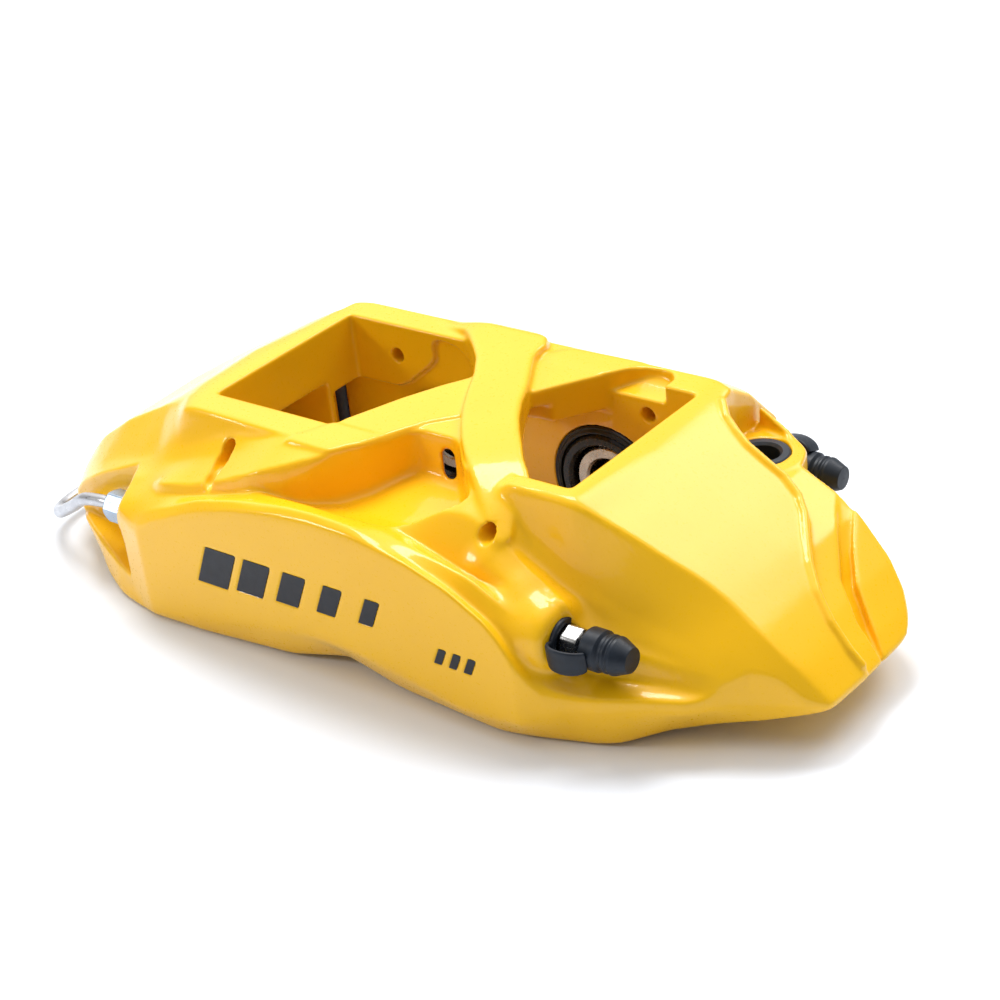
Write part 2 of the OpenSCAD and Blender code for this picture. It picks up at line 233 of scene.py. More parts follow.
def capsule_chain(points, radii):
    """A round ridge through points, with a radius at each."""
    field = None
    for p, q, rp, rq in zip(points, points[1:], radii, radii[1:]):
        gap, t = to_segment(p, q)
        piece = gap - (rp + t * (rq - rp))
        field = piece if field is None else smooth_min(field, piece, 2.0)
    return field


def read_off(pairs, places):
    """Values at places along a line given as (place, value) pairs."""
    at, values = zip(*sorted(pairs))
    return np.interp(places, at, values)


def along_x(line, column):
    """The y (column 1) or z (column 2) of a feature line at every x of the grid."""
    return read_off([(p[0], p[column]) for p in line], xs)


def softened(height, share, size):
    """A height map softened by about size, all the way where share is 1 and less where it is lower."""
    return height + (blurred(height, size) - height) * share.astype(np.float32)


def eased(values):
    """A feature line's coordinate along x with its corners rounded off."""
    return blurred(values.astype(np.float32), 2.2)


def height_from_lines(lines):
    """Height over the plan, straight between feature lines that run along the caliper."""
    line_y = np.array([eased(along_x(line, 1)) for line in lines])
    line_z = np.array([eased(along_x(line, 2)) for line in lines])
    height = np.empty((len(xs), len(ys)), np.float32)
    for i in range(len(xs)):
        order = np.argsort(line_y[:, i], kind="stable")
        height[i] = np.interp(ys, line_y[order, i], line_z[order, i])
    return height


def under_height(height):
    """Field of what lies under a height map given over the plan."""
    gx, gy = np.gradient(height, VOXEL)
    steep = np.sqrt(1 + gx ** 2 + gy ** 2)
    return (Z - height[:, :, None]) / steep[:, :, None]


# ---- The housing's feature lines, each a list of (x, y, z) ----

CREST = [
    (-172, -20, -64), (-166, -28, -56), (-158, -33, -46.5), (-146, -35, -34.5), (-128, -36, -22.5),
    (-110, -37, -13.5), (-99, -38.5, -7.5), (-91, -42, -2.5), (-84, -48, -0.3), (-33, -49, 0),
    (-18, -48, 0), (-5, -46, 0), (10, -45, -4), (30, -43, -6), (46, -42, -5), (53, -41.5, -3.6),
    (55.5, -42, -0.3), (59, -43.3, 0), (82, -43.8, 0), (89, -40.5, -4.6), (100, -38.7, -9.5),
    (111, -36.7, -15.5), (122, -34, -21.5), (131, -33, -27), (144, -34.5, -35.5), (156, -33.6, -45.5),
    (165.2, -30.6, -56.3), (172, -28, -64.5)]
FACET_FOOT = [
    (-172, -26, -66), (-166, -34, -59), (-158, -39.5, -51), (-146, -43.5, -43.5), (-136, -46, -38.7),
    (-107, -52, -27.7), (-83, -53.5, -19.5), (-69, -53.5, -12.8), (-56, -52, -8.3), (-44, -51, -4.2),
    (-34, -50.3, -0.8), (-18, -49, -0.4), (-5, -47, -0.4), (20, -49, -6), (46, -46, -5.6), (55, -45, -6),
    (61, -46, -8), (64, -46.3, -14.5), (70, -46.5, -23), (80, -46.5, -29.5), (93, -46.5, -32.6),
    (113, -45.5, -38), (134, -44.5, -42), (149, -40, -45.8), (156, -36, -49), (165.2, -32.4, -57.6),
    (172, -30, -66)]
SPUR = [
    (-172, -28, -69), (-158, -43, -53.5), (-146, -48, -45.5), (-136, -50.5, -40.5), (-120, -56, -33.5),
    (-107, -59, -29), (-98, -60.5, -26.8), (-90, -62.5, -25.2), (-80, -67.6, -21.6), (-65, -67.4, -19.2),
    (-50, -66.8, -14.2), (-33, -65.4, -7.4), (-18, -57.5, -2.8), (-5, -48.5, -0.8), (5, -56, -12),
    (20, -58.5, -12.8), (28, -57.5, -12), (36, -55.5, -9.8), (44, -53.5, -8.3), (50, -53.5, -9.2),
    (56, -54, -11.2), (64.6, -54, -17.7), (72.4, -54, -23.4), (80.6, -54.5, -26.6), (87, -57, -31),
    (93, -56.5, -39), (108, -53, -42), (126, -48.8, -44.8), (138, -45.5, -46.5), (149, -41.5, -48),
    (156, -37.5, -50.5), (165.2, -33.6, -59), (172, -31, -68)]
SHELF = [
    (-172, -30, -72), (-158, -45, -57), (-146, -50.5, -47), (-136, -53, -41.5), (-120, -58, -34.5),
    (-107, -61.5, -30), (-98, -63, -28.8), (-90, -65, -28.2), (-80, -68.4, -25.2), (-65, -68.3, -22.2),
    (-50, -67.8, -18.6), (-33, -66.8, -13.8), (-18, -61.5, -11.5), (-5, -58, -14), (10, -61, -15),
    (24, -63, -14.6), (36, -63, -17.8), (49, -63, -22.4), (58, -63, -26), (66, -62.5, -31.5),
    (74, -62, -38), (82, -61, -45), (98, -58.5, -50.5), (108, -55.5, -50.5), (126, -50.2, -50.8),
    (138, -46.6, -50.8), (149, -42.6, -51), (156, -38.6, -52.5), (165.2, -34.6, -60.5), (172, -33, -72)]
RIM_BACK = [
    (-172, -32, -74), (-146, -54, -50), (-125, -62, -37), (-111, -66, -33), (-98, -67, -31),
    (-90, -68, -30), (-80, -69.3, -26.2), (-65, -69.3, -22.6), (-50, -69, -18.8), (-36, -69, -15),
    (-20, -68.6, -12.4), (-9, -68.3, -11.6), (11, -68, -12), (24, -68.5, -13.2), (36, -69, -15.2),
    (51, -69, -17.8), (60, -69, -19.8), (69, -68.6, -25.6), (76, -68, -34), (81, -67.5, -43),
    (88, -66.5, -51), (95, -65, -52.5), (104, -62, -52), (115, -57, -52), (127, -51, -52),
    (138, -47, -52), (150, -43.5, -52.5), (172, -32, -74)]
RIM_TOP = [
    (-172, -36, -76), (-146, -56, -54), (-125, -66, -40), (-111, -69.5, -35.5), (-94, -73, -32.6),
    (-88, -73.8, -31.6), (-80, -74, -29.6), (-71, -74, -26), (-55, -74, -18.9), (-37.5, -74, -14.7),
    (-14, -74, -11), (0, -74, -10), (18, -74, -10.8), (29, -73.8, -14), (38.6, -73.6, -17.2),
    (55, -73.4, -23), (69.8, -73.2, -31.4), (76, -73, -38.2), (81, -72.5, -46), (87.5, -71.5, -51),
    (95, -68.5, -53.6), (104, -66, -53.4), (115, -60.5, -53), (127, -55, -53), (138, -49, -53),
    (150, -44.5, -53.5), (172, -36, -76)]
PANEL_TOP = [
    (-172, -38, -80), (-146, -58, -60), (-125, -69, -45), (-111, -72, -40), (-94, -76, -38),
    (-88, -77, -36.5), (-82, -77, -35.5), (-74, -77, -31.5), (-64, -77, -27), (-48.6, -77, -21.2),
    (-35.5, -77, -17.4), (-23.4, -77, -14.8), (0, -77, -12.8), (18.4, -77, -12.8), (38.6, -77, -15.4),
    (55, -77, -20.6), (69.8, -77, -29), (76, -77, -36), (81, -77, -45), (87, -74, -55), (95, -71, -60),
    (115, -63, -60), (138, -52, -60), (150, -47, -60), (172, -38, -80)]


def shifted(line, dy, dz):
    """A feature line moved outboard or down as a whole."""
    return [(x, y + dy, z + dz) for x, y, z in line]


MIDLINE = [(x, 0, z) for x, z in [
    (-172, -64), (-166, -55), (-158, -45), (-145, -33), (-128, -21), (-110, -12.5), (-92, -1.8),
    (-84, -0.2), (-77, 0), (77, 0), (86, -1.8), (98, -7.6), (118, -18.1), (132, -26.2), (144, -34.2),
    (152, -40.6), (158, -46.4), (163, -52.4), (166, -56.4), (172, -65)]]
FAR_CREST = [
    (-172, 14, -64), (-158, 30, -45), (-135, 34, -25.5), (-118, 40, -17), (-101, 43, -9), (-92, 43.5, -4),
    (-84, 46, -0.5), (-77, 48, 0), (77, 48, 0), (84, 46, -1.5), (98, 43, -8), (118, 38, -19),
    (144, 34, -34), (158, 30, -46.5), (165, 20, -56), (172, 14, -66)]
FAR_SHOULDER = [
    (-172, 30, -70), (-158, 44, -52), (-135, 48, -32), (-118, 54, -24), (-101, 57, -17), (-84, 60, -8.5),
    (-77, 60, -8), (77, 60, -8), (84, 60, -10), (98, 57, -17), (118, 52, -27), (144, 48, -42),
    (158, 44, -55), (172, 30, -72)]
FAR_EDGE = [
    (-172, 50, -78), (-118, 72, -34), (-84, 75, -25), (84, 75, -25), (118, 72, -38), (172, 50, -80)]
TOP_LINES = [
    shifted(PANEL_TOP, -8, -30), PANEL_TOP, RIM_TOP, RIM_BACK, SHELF, SPUR, FACET_FOOT, CREST, MIDLINE,
    FAR_CREST, FAR_SHOULDER, FAR_EDGE, shifted(FAR_EDGE, 8, -24)]

# The outline from above at the height of the panel, and at the underside; then (x, z) of where the walls
# start to flare to the lower outline, and of the underside.
PLAN_WIDE = [
    (-167, -27), (-164.5, -37), (-158, -43.5), (-151, -49), (-146, -52.5), (-134, -59), (-122.5, -64.5),
    (-110, -69.2), (-104, -70.8), (-98, -72.6), (-86, -77), (79, -77), (87, -73.5), (95, -69.5),
    (104, -66.5), (115, -61), (127, -55.5), (134, -49), (143, -42), (151, -38.5), (158, -36.3),
    (165.6, -31.8), (166.4, -10), (166.4, 18), (156.6, 30), (149, 35), (138, 38.8), (127, 41.5),
    (112, 43), (108, 52), (98, 59), (88, 61), (84, 62), (84, 75), (-84, 75), (-86, 61), (-98, 58),
    (-108, 52), (-112, 42), (-127, 40.5), (-138, 38.5), (-149, 35), (-158, 31), (-167, 20)]
PLAN_LOW = [
    (-164, -24), (-158, -36), (-148, -44), (-138, -52), (-122, -64), (-108, -71.5), (-95, -75),
    (-64, -75), (-24, -72), (-1, -66.5), (29, -70), (54, -71), (68, -72), (87, -67), (106, -61),
    (118, -47), (130, -42), (146, -38), (157, -33), (163, -29), (164.5, -8), (164.5, 15), (156, 27),
    (149, 32), (132, 37), (112, 40), (98, 54), (84, 58), (82, 70), (-82, 70), (-84, 58), (-98, 54),
    (-112, 40), (-132, 36), (-152, 30), (-162, 18)]
LOW_START = [
    (-172, -52), (-111, -62), (-92, -72), (-77, -70.5), (-56, -65.5), (-36, -61), (-11, -57.5),
    (12, -57.5), (34, -61), (55, -66), (80, -64), (95, -58), (172, -56)]
UNDERSIDE = [
    (-172, -60), (-166, -62.5), (-158, -65), (-146, -69), (-128, -73), (-112, -74), (-64, -74),
    (-22, -73), (0, -70), (22, -73), (64, -74), (98, -74), (120, -71), (142, -65.5), (158, -61.5),
    (166, -60), (172, -59)]


def housing_shell():
    """The housing's outside: the lofted top, the flared sides and the wavy underside."""
    x, y = XY
    top = blurred(height_from_lines(TOP_LINES), 0.45)
    foot = np.exp(-((y - along_x(FACET_FOOT, 1)[:, None] + 1.5) / 4.5) ** 2)
    foot = foot * np.clip((-x - 38) / 15, 0, 1) + foot * np.clip((x - 58) / 12, 0, 1) * 0.8
    top = softened(top, foot, 3.2)
    left_corner = np.exp(-((x + 91) / 9) ** 2) * np.clip((-28 - y) / 8, 0, 1)
    top = softened(top, left_corner, 4.0)
    field = under_height(top)
    wide, low = plan(PLAN_WIDE, 0.8), plan(PLAN_LOW, 2.5)
    start = read_off(LOW_START, xs)[:, None, None]
    under = read_off(UNDERSIDE, xs)[:, None, None]
    share = np.clip((start - Z) / np.maximum(start - under, 3), 0, 1)
    share = blurred(np.broadcast_to(share, (len(xs), 1, len(zs))).astype(np.float32), 1.6)
    walls = wide + (low - wide) * share
    field = smooth_max(field, walls, 1.1)
    return smooth_max(field, (under - Z).astype(np.float32), 3.0)


BEAD = [
    (85.3, 38.5), (90.1, 32.8), (95.9, 29.5), (101.2, 27.4), (108.8, 26.6), (115.7, 26.2), (122.4, 23.3),
    (127.5, 18.3), (132.9, 9.9), (138.5, 2), (145.3, -5.2), (152.6, -9.8), (159.6, -11.3), (163.6, -10.6)]
STEP_FLOOR = [(70, -22), (113, -22), (134, -31), (150, -43.5), (160, -53), (167, -61), (175, -71)]


def lug_step_cut(end_sign):
    """What is missing above the low step round a mounting lug: the bead runs along the step's edge."""
    edge = [(83.5, 84), (83.5, 49), (84.6, 43)] + [(x, y + 1.7) for x, y in BEAD] + [(176, -10), (176, 84)]
    outline = [(end_sign * x, y) for x, y in edge]
    floor = [(end_sign * x, z) for x, z in [(70, 20)] + STEP_FLOOR + [(175, 20)]]
    beyond = [(end_sign * x, y) for x, y in [
        (85, 84), (85, 60), (90, 58.5), (98, 56.5), (104, 51.5), (112, 49), (172, 49), (172, 84)]]
    step = smooth_max(plan(outline, 0.8), side(floor, 0.8), 1.5)
    wall_top = read_off([(80, -8), (84, -13), (98, -19), (103, -23), (110, -32), (172, -80)], xs * end_sign)
    wall = smooth_max(plan(beyond, 1.0), (Z - wall_top[:, None, None]).astype(np.float32), 1.5)
    return cut(step, wall, 2.5)


def straight_bar():
    """The bridge's straight bar, from near left to far right."""
    outline = [(-30, -52), (-25, -44), (-22.6, -37.6), (-21.5, -30.6), (-14, -10), (-7.6, 3.8),
               (-1.9, 13.4), (13, 46), (48, 48), (44.4, 41.4), (38.1, 32.5), (31.6, 22.6), (25, 12),
               (13.5, -13), (7, -20), (2, -30), (-5, -45), (-10, -52)]
    return smooth_max(plan(outline, 0.6), np.abs(Z + 7) - 7, 1.3)


def window_lip():
    """The scooped relief in the inboard edge of the right-hand opening."""
    outline = [(37, 30), (38.1, 32.5), (44.4, 41.4), (50.6, 45.6), (56.1, 47), (60.5, 46), (63.4, 42.5),
               (64, 30)]
    scoop = np.sqrt(((Y - 35) / 12.5) ** 2 + (Z / 6.6) ** 2) * 6.6 - 6.6
    return smooth_max(plan(outline, 0.8), scoop.astype(np.float32), 1.0)


def far_recess():
    """The shallow triangular recess in the crown beyond the crossing."""
    outline = [(2, 50.5), (12.5, 38.5), (15, 42), (22, 49.5)]
    return smooth_max(plan(outline, 0.8), -4 - Z, 1.0)


def wall_recess():
    """The left-hand opening's inboard wall, set back below its land up into an arch beside the band."""
    outline = [(-90, -26.6), (-57, -26), (-52, -23.5), (-40, -13.8), (-38, -11), (-38, -5.5), (-36.5, -3.2),
               (-33, -3), (-27, -4), (-20, -9), (-16, -16), (-15, -24), (-13, -90), (-90, -90)]
    return smooth_max(side(outline, 0.8), np.abs(Y - 30) - 8.2, 0.8)


BAND_LEFT = [
    (-44, 47), (-38, 44), (-33, 41.5), (-29, 40.5), (-24, 38.8), (-19.5, 35.2), (-13, 29.2), (-6, 22),
    (1, 12), (8, -1), (14, -11), (20, -19.5), (27, -28.3), (33, -34.5), (39, -40), (44.5, -44.5),
    (49.2, -48), (56, -52.5), (61, -57)]
BAND_RIGHT = [
    (68, -57), (63, -50), (60.5, -45), (60, -40), (61.5, -36), (56.5, -31), (51, -26), (46.5, -20.5),
    (42, -15.5), (36.5, -8.5), (30.5, 1), (25, 12), (19, 22), (13.5, 31), (12, 36), (11.6, 41), (8.4, 46),
    (2.5, 49.8), (-10, 52), (-30, 51)]
BAND_FALL = [(0, 3.5), (15, 3.4), (30, 1.8), (40, -0.2), (48, -3.2), (54, -6.4), (61, -11), (72, -20)]


def raised_band():
    """The band that sweeps over the bar, from far left down to near right."""
    along = (X - 20) * 0.59 - (Y + 5) * 0.806
    near_top = blurred(read_off(BAND_FALL, along).astype(np.float32), 4.0)
    far_fall = np.clip((Y - 44) / 8, 0, 1)
    left_fall = np.clip((-X - 18) / 18, 0, 1)
    top = near_top - 4 * far_fall ** 2 - 3.6 * left_fall ** 1.5
    cap = ((Z - top) * 0.95).astype(np.float32)
    field = smooth_max(plan(BAND_LEFT + BAND_RIGHT, 0.8), cap, 1.8)
    return smooth_max(field, -14.5 - Z, 2.0)


def band_foot():
    """The end of the band's foot, which swells into the bleed screw's boss."""
    swell = capsule_chain([(58, -55, -24), (70, -57, -31), (80, -59.5, -36)], [6, 8.2, 9.6])
    swell = smooth_max(swell, X - BOSS_X, 4.0)
    return cut(swell, plan(rectangle(-80, 80, -WALL_Y, WALL_Y)), 1.5)


def near_pocket():
    """The scooped pocket between bar and band, closed below by a web."""
    outline = [(13, -13.5), (8.5, -18.5), (3, -29), (-3.5, -43.5), (-9, -50.5), (-16, -57.5), (-24, -62.5),
               (-34, -65.8), (-40, -67.6), (10, -67.6), (19, -64), (28, -59), (36, -54.5), (42, -50),
               (43.5, -46.5), (38.5, -41), (32.5, -35.5), (26, -28.3), (19, -19.5)]
    floor = [(-76, 12), (-76, -12.5), (-68.5, -13.2), (-65, -15.5), (-60.5, -18.5), (-53, -20), (-44, -19),
             (-36, -17.6), (-30, -16.8), (-27.5, -15), (-26, -9), (-24.5, -2), (-22.5, 12)]
    return smooth_max(plan(outline, 0.8), end(floor, 1.2), 3.5)


def web_slot():
    """The slot that runs aslant from the pocket's steep end, under the crossing, to the pad opening."""
    x = 19.6 - 0.85 * (Y + 27)
    z = -9.8 - 0.72 * (Y + 27)
    gap = np.sqrt((X - x) ** 2 + np.maximum(np.abs(Z - z) - 3.2, 0) ** 2) - 2.7
    return smooth_max(gap.astype(np.float32), np.abs(Y + 17) - 15, 0.5)


def groove_right():
    """The slanted groove in the right end, beyond the step."""
    outline = [(125.5, 43), (127.5, 39), (135.5, 25.5), (144.8, 10.8), (154.7, 3), (162.2, 1.2), (169, 0),
               (169, 1), (163.2, 2.4), (158.5, 5.8), (147.5, 14.5), (140.6, 25), (133.6, 38.5), (132.5, 43)]
    depth = read_off([(127, 0.2), (133, 1.6), (144, 4.6), (155, 5.0), (163, 2.6)], xs)
    floor = (read_off(STEP_FLOOR, xs) - depth)[:, None, None] - Z
    return smooth_max(plan(outline, 0.5), floor.astype(np.float32), 1.0)


def bead_right():
    """The narrow raised line along the step's edge."""
    heights = read_off([(x, z) for x, y, z in MIDLINE], [x for x, y in BEAD]) - 0.5
    line = [(x, y, z) for (x, y), z in zip(BEAD, heights)]
    bead = union(to_segment(p, q)[0] for p, q in zip(line, line[1:])) - 1.6
    return smooth_max(bead, plan(PLAN_WIDE, 1.0), 1.0)


def keyhole():
    """The trough that the left pad pin's hole makes down the outboard slope."""
    return capsule_chain(
        [(-56, -40, -9.5), (-56, -52.5, -10), (-56, -58, -12.6), (-55.6, -65, -16), (-55, -70, -19)],
        [2.7, 2.7, 2.6, 1.9, 0.8])


def notch():
    """The notch that leaves the pipe and its nut free at the near left corner."""
    wall = plan([(-200, -90), (-200, -44), (-165, -44), (-150, -48.5), (-138, -51), (-120, -53),
                 (PORT_X - 1, -54), (PORT_X + 2.5, -61), (PORT_X + 4, -68), (PORT_X + 6, -90)], 0.6)
    floor = side([(-200, 20), (-200, -80), (-163, -71), (-150, -60), (-140, -57), (-125, -57.5),
                  (-104, -62), (-96, -64), (-96, 20)], 0.6)
    return smooth_max(wall, floor, 1.5)


def window():
    """The pad opening, right through the housing."""
    return plan(rectangle(-WINDOW_X, WINDOW_X, -WALL_Y, WALL_Y), 0.8)


def disc_slot():
    """The arc that clears the disc's edge, open below."""
    radial = np.sqrt(X ** 2 + (Z - DISC_CENTRE_Z) ** 2) - SLOT_R
    return smooth_max(radial.astype(np.float32), np.abs(Y) - SLOT_HALF, 1.5)


def piston_bore(side_sign, end_sign):
    """One piston's bore, with the wider seat of the boot at its mouth."""
    radial = np.sqrt((X - end_sign * PISTON_X) ** 2 + (Z - PISTON_Z) ** 2)
    depth = Y * side_sign - WALL_Y
    seat = np.maximum(radial - PISTON_R[end_sign] - RING_W, np.maximum(-depth - 3, depth - 4.5))
    bore = np.maximum(radial - PISTON_R[end_sign] - RUN_GAP, np.maximum(-depth - 3, depth - 28.5))
    return np.minimum(seat, bore)


def piston_bores():
    """All four bores."""
    return union(piston_bore(side_sign, end_sign) for side_sign in SIDES for end_sign in ENDS)


def small_bores():
    """Pin holes, bush holes, ports and the hose inlet with its spot face."""
    holes = [(1, (s * PIN_X, PIN_Z), PIN_R, -64, 58) for s in ENDS]
    holes += [(2, (s * BOLT_X, BOLT_Y), BUSH_R + 0.05, -90, 20) for s in ENDS]
    holes += [(0, (BLEED_Y[s], BLEED_Z), PORT_R, BOSS_X - 12, BOSS_X + 9) for s in SIDES]
    holes += [(0, (s * PIPE_Y, PIPE_Z), PORT_R, PORT_X - 9, PORT_X + 12) for s in SIDES]
    holes += [(1, INLET, INLET_R, 62, 90), (1, INLET, 2 * INLET_R, INBOARD_Y - 1.2, 90)]
    return union(bar(*hole, 0.1) for hole in holes)


def stripe_outlines():
    """The plain slanted bars on the outboard face: five that narrow, and three small ones."""
    def slanted(x, z, w, h):
        return [(x, z), (x + w, z), (x + w + 0.45 * h, z + h), (x + 0.45 * h, z + h)]
    large = [slanted(-58 + 18.5 * i, -50 + 1.2 * i, 14 - 2 * i, 15 - 1.2 * i) for i in range(5)]
    return large + [slanted(47 + 6 * i, -51, 3, 6) for i in range(3)]


def stripes():
    """The shallow pockets that the plain bars lie in."""
    return np.maximum(union(side(outline) for outline in stripe_outlines()), Y + FACE_Y - 0.8)


def bosses():
    """Bosses of the bleed screws and of the pipe's two ports."""
    bleed = union(bar(0, (BLEED_Y[s], BLEED_Z), BLEED_BOSS_R[s], 62, BOSS_X, 4.5) for s in SIDES)
    pipe = union(bar(0, (s * PIPE_Y, PIPE_Z), PIPE_BOSS_R, PORT_X, -80, 1.6) for s in SIDES)
    return np.minimum(bleed, pipe)


def cap_room():
    """Room round the inboard bleed cap and its strap."""
    return bar(0, (BLEED_Y[INBOARD], BLEED_Z), 12, BOSS_X, 106, 2.0)


def nut_room():
    """Room round the inboard pipe nut, beyond its port."""
    return box_field(-200, PORT_X, 53.6, 90, -90, 20)


def lugs():
    """The two mounting lugs."""
    left, right = [bar(2, (s * BOLT_X, BOLT_Y), LUG_R, LUG_BOTTOM, LUG_TOP, 1.4) for s in ENDS]
    return smooth_min(left, right, 1.0)


def bridge():
    """The crossed bridge, with the web that closes the corner between its bar and its band."""
    crossed = smooth_min(cut(straight_bar(), far_recess(), 1.0), raised_band(), 1.2)
    web = smooth_max(plan([(-6, -40), (1, -18), (6, -4), (16, -4), (36, -22), (46, -40)]),
                     np.abs(Z + 11.5) - 10.5, 1.0)
    return smooth_max(np.minimum(crossed, web), plan(rectangle(-88, 88, -58, 50)), 1.0)


# What shapes the housing after its shell and the steps round its lugs, in order, with how softly each
# meets the rest.
SCULPTING = [
    (cut, notch, 1.2), (cut, window, 1.1), (cut, window_lip, 0.9), (join, lugs, 3.0), (cut, nut_room, 1.2),
    (join, bridge, 1.8), (cut, near_pocket, 1.4), (join, band_foot, 6.0), (join, bosses, 4.0),
    (cut, cap_room, 1.5), (join, bead_right, 0.5), (cut, groove_right, 0.8), (cut, keyhole, 1.0),
    (cut, disc_slot, 1.2), (cut, wall_recess, 0.8), (cut, web_slot, 0.5)]
MACHINING = [(piston_bores, 0.5), (small_bores, 0.6), (stripes, 0.3)]


def housing_field():
    """The whole housing as one distance field: cast and softened first, then bored."""
    field = housing_shell()
    for end_sign in ENDS:
        field = cut(field, lug_step_cut(end_sign), 1.2)
    for change, shape, k in SCULPTING:
        field = change(field, shape(), k)
    field = blurred(field.astype(np.float32), 0.4)
    for shape, k in MACHINING:
        field = cut(field, shape(), k)
    return field


# ---- Meshes ----


def new_object(name, points, faces):
    """A smooth-shaded mesh object from working-frame points."""
    mesh = bpy.data.meshes.new(name)
    mesh.from_pydata([tuple(p) for p in to_row(points)], [], faces)
    mesh.validate()
    mesh.update()
    obj = bpy.data.objects.new(name, mesh)
    bpy.context.scene.collection.objects.link(obj)
    mesh.shade_smooth()
    return obj


def skin(rings, sides, closed=False):
    """Faces over rings of that many points: with flat ends, or closed from the last ring to the first."""
    faces = []
    for i in range(rings if closed else rings - 1):
        j = (i + 1) % rings
        for k in range(sides):
            m = (k + 1) % sides
            faces.append((i * sides + k, i * sides + m, j * sides + m, j * sides + k))
    if not closed:
        faces.append(tuple(range(sides))[::-1])
        faces.append(tuple((rings - 1) * sides + k for k in range(sides)))
    return faces


def sample(volume, points):
    """Values of a grid at working-frame points, straight between its cells."""
    place = (points - np.array([xs[0], ys[0], zs[0]])) / VOXEL
    limit = np.array(volume.shape) - 2
    cell = np.clip(place.astype(int), 0, limit)
    part = np.clip(place - cell, 0, 1)
    total = np.zeros(len(points))
    for corner in range(8):
        step = np.array([corner & 1, corner >> 1 & 1, corner >> 2 & 1])
        weight = np.prod(np.where(step, part, 1 - part), axis=1)
        i, j, k = (cell + step).T
        total += weight * volume[i, j, k]
    return total


def field_normals(volume, points):
    """Outward directions of a field at points."""
    reach = 0.55 * VOXEL
    normals = np.empty(points.shape)
    for axis in range(3):
        step = np.zeros(3)
        step[axis] = reach
        normals[:, axis] = sample(volume, points + step) - sample(volume, points - step)
    length = np.linalg.norm(normals, axis=1)
    return normals / np.maximum(length, 1e-9)[:, None]


def mesh_from_field(name, volume, target_faces):
    """The surface where a field is zero, thinned to about target_faces, with the field's own normals."""
    grid = vdb.FloatGrid(background=float(6 * VOXEL))
    clipped = np.clip(volume, -6 * VOXEL, 6 * VOXEL).astype(np.float32)
    grid.copyFromArray(np.ascontiguousarray(clipped))
    points, quads = grid.convertToQuads(isovalue=0.0)
    points = np.asarray(points, float) * VOXEL + np.array([xs[0], ys[0], zs[0]])
    obj = new_object(name, points, np.asarray(quads).tolist())
    triangles = 2 * len(quads)
    if triangles > target_faces:
        thin = obj.modifiers.new("thin", "DECIMATE")
        thin.ratio = target_faces / triangles
        bpy.context.view_layer.objects.active = obj
        obj.select_set(True)
        bpy.ops.object.modifier_apply(modifier=thin.name)
        obj.select_set(False)
    mesh = obj.data
    co = np.empty(3 * len(mesh.vertices), np.float32)
    mesh.vertices.foreach_get("co", co)
    inner = co.reshape(-1, 3) / MM - CROWN
    mesh.shade_smooth()
    mesh.normals_split_custom_set_from_vertices([tuple(n) for n in field_normals(volume, inner)])
    return obj


def rounded(points, radii, steps=5):
    """A profile with each inner corner replaced by an arc. radii is one number or one per point."""
    count = len(points)
    if np.isscalar(radii):
        radii = [radii] * count
    result = [np.array(points[0], float)]
    for i in range(1, count - 1):
        p, here, n = (np.array(points[j], float) for j in (i - 1, i, i + 1))
        u, v = p - here, n - here
        lu, lv = np.linalg.norm(u), np.linalg.norm(v)
        u, v = u / lu, v / lv
        bend = math.acos(float(np.clip(u @ v, -1, 1)))
        if radii[i] <= 0 or bend > math.pi - 0.02 or bend < 0.02:
            result.append(here)
            continue
        back = min(radii[i] / math.tan(bend / 2), 0.48 * lu, 0.48 * lv)
        a, b = here + u * back, here + v * back
        for s in range(steps + 1):
            t = s / steps
            result.append((1 - t) ** 2 * a + 2 * t * (1 - t) * here + t * t * b)
    result.append(np.array(points[-1], float))
    return result


def axis_frame(origin, axis, zero):
    """Columns: the direction of angle 0, of angle 90 and of the axis; then the origin."""
    w = np.array(axis, float)
    u = np.array(zero, float)
    v = np.cross(w, u)
    return np.array(origin, float), u, v, w


def lathe(name, profile, place, sides=96, closed=True, radius_at=None):
    """A turned piece. profile is (r, z) points; radius_at(angle, r, z) may make it other than round."""
    origin, u, v, w = place
    angles = np.linspace(0, 2 * math.pi, sides, endpoint=False)
    points = []
    for r, z in profile:
        for a in angles:
            q = radius_at(a, r, z) if radius_at else r
            points.append(origin + q * (math.cos(a) * u + math.sin(a) * v) + z * w)
    obj = new_object(name, points, skin(len(profile), sides, closed))
    weld = obj.modifiers.new("weld", "WELD")
    weld.merge_threshold = 1e-6
    even = obj.modifiers.new("even", "WEIGHTED_NORMAL")
    even.keep_sharp = True
    return obj


def piston_place(side_sign, end_sign, proud=0):
    """A piston's axis, from the wall of the pad opening, or proud of it, into the bore."""
    start = (end_sign * PISTON_X, side_sign * (WALL_Y - proud), PISTON_Z)
    return axis_frame(start, (0, side_sign, 0), (1, 0, 0))


def bleed_place(side_sign):
    """A bleed screw's axis, pointing out of its boss; angle 0 points down."""
    return axis_frame((BOSS_X, BLEED_Y[side_sign], BLEED_Z), (1, 0, 0), (0, 0, -1))


def port_place(side_sign):
    """A pipe port's axis, pointing out of its boss."""
    return axis_frame((PORT_X, side_sign * PIPE_Y, PIPE_Z), (-1, 0, 0), (0, 0, 1))


def hexagon(flat, turn=0.0, soft=0.25):
    """radius_at for a hexagonal bar of that width across flats, rounded off by the profile's own radius."""
    def radius_at(angle, r, z):
        local = (angle + turn) % (math.pi / 3) - math.pi / 6
        flat_r = flat / 2 / math.cos(local)
        corner = flat / math.sqrt(3) - soft
        return min(r, flat_r, corner)
    return radius_at


# ---- Materials ----


